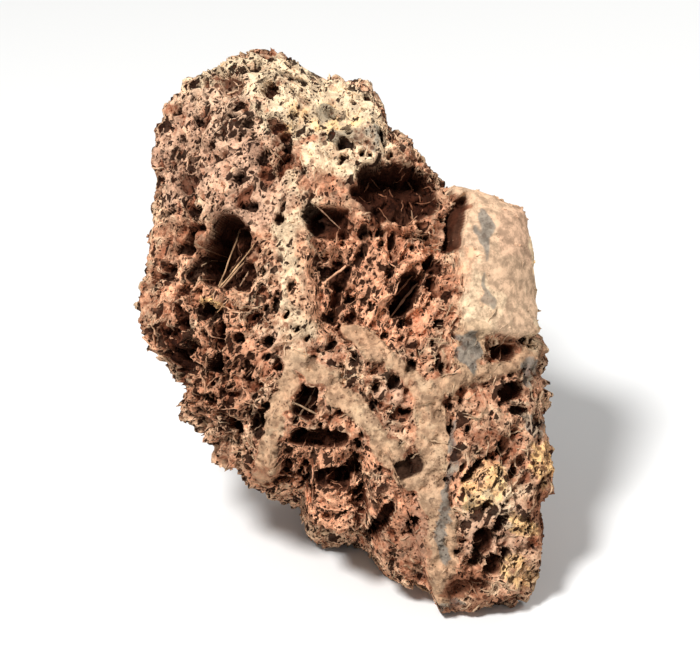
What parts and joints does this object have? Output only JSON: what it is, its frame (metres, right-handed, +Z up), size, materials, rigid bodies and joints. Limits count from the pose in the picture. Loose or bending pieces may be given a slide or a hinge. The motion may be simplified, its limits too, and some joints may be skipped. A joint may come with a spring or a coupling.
{
  "type": "maple leaf rock",
  "caption": "Upright chunk of porous red-brown stone with pale raised mineral bands, pits and caves, standing on a small flat spot.",
  "frame": {"origin": "centre of the bounding box on the flat resting spot", "axes": "+Z up, -Y towards the viewer of the banded front face, +X to that viewer's right"},
  "size_m": [0.1334, 0.1134, 0.1573],
  "materials": {
    "stone": "rough matte weathered stone, red-brown with pale beige bands"
  },
  "bodies": {
    "root": {"rock": "stone"}
  },
  "joints": []
}
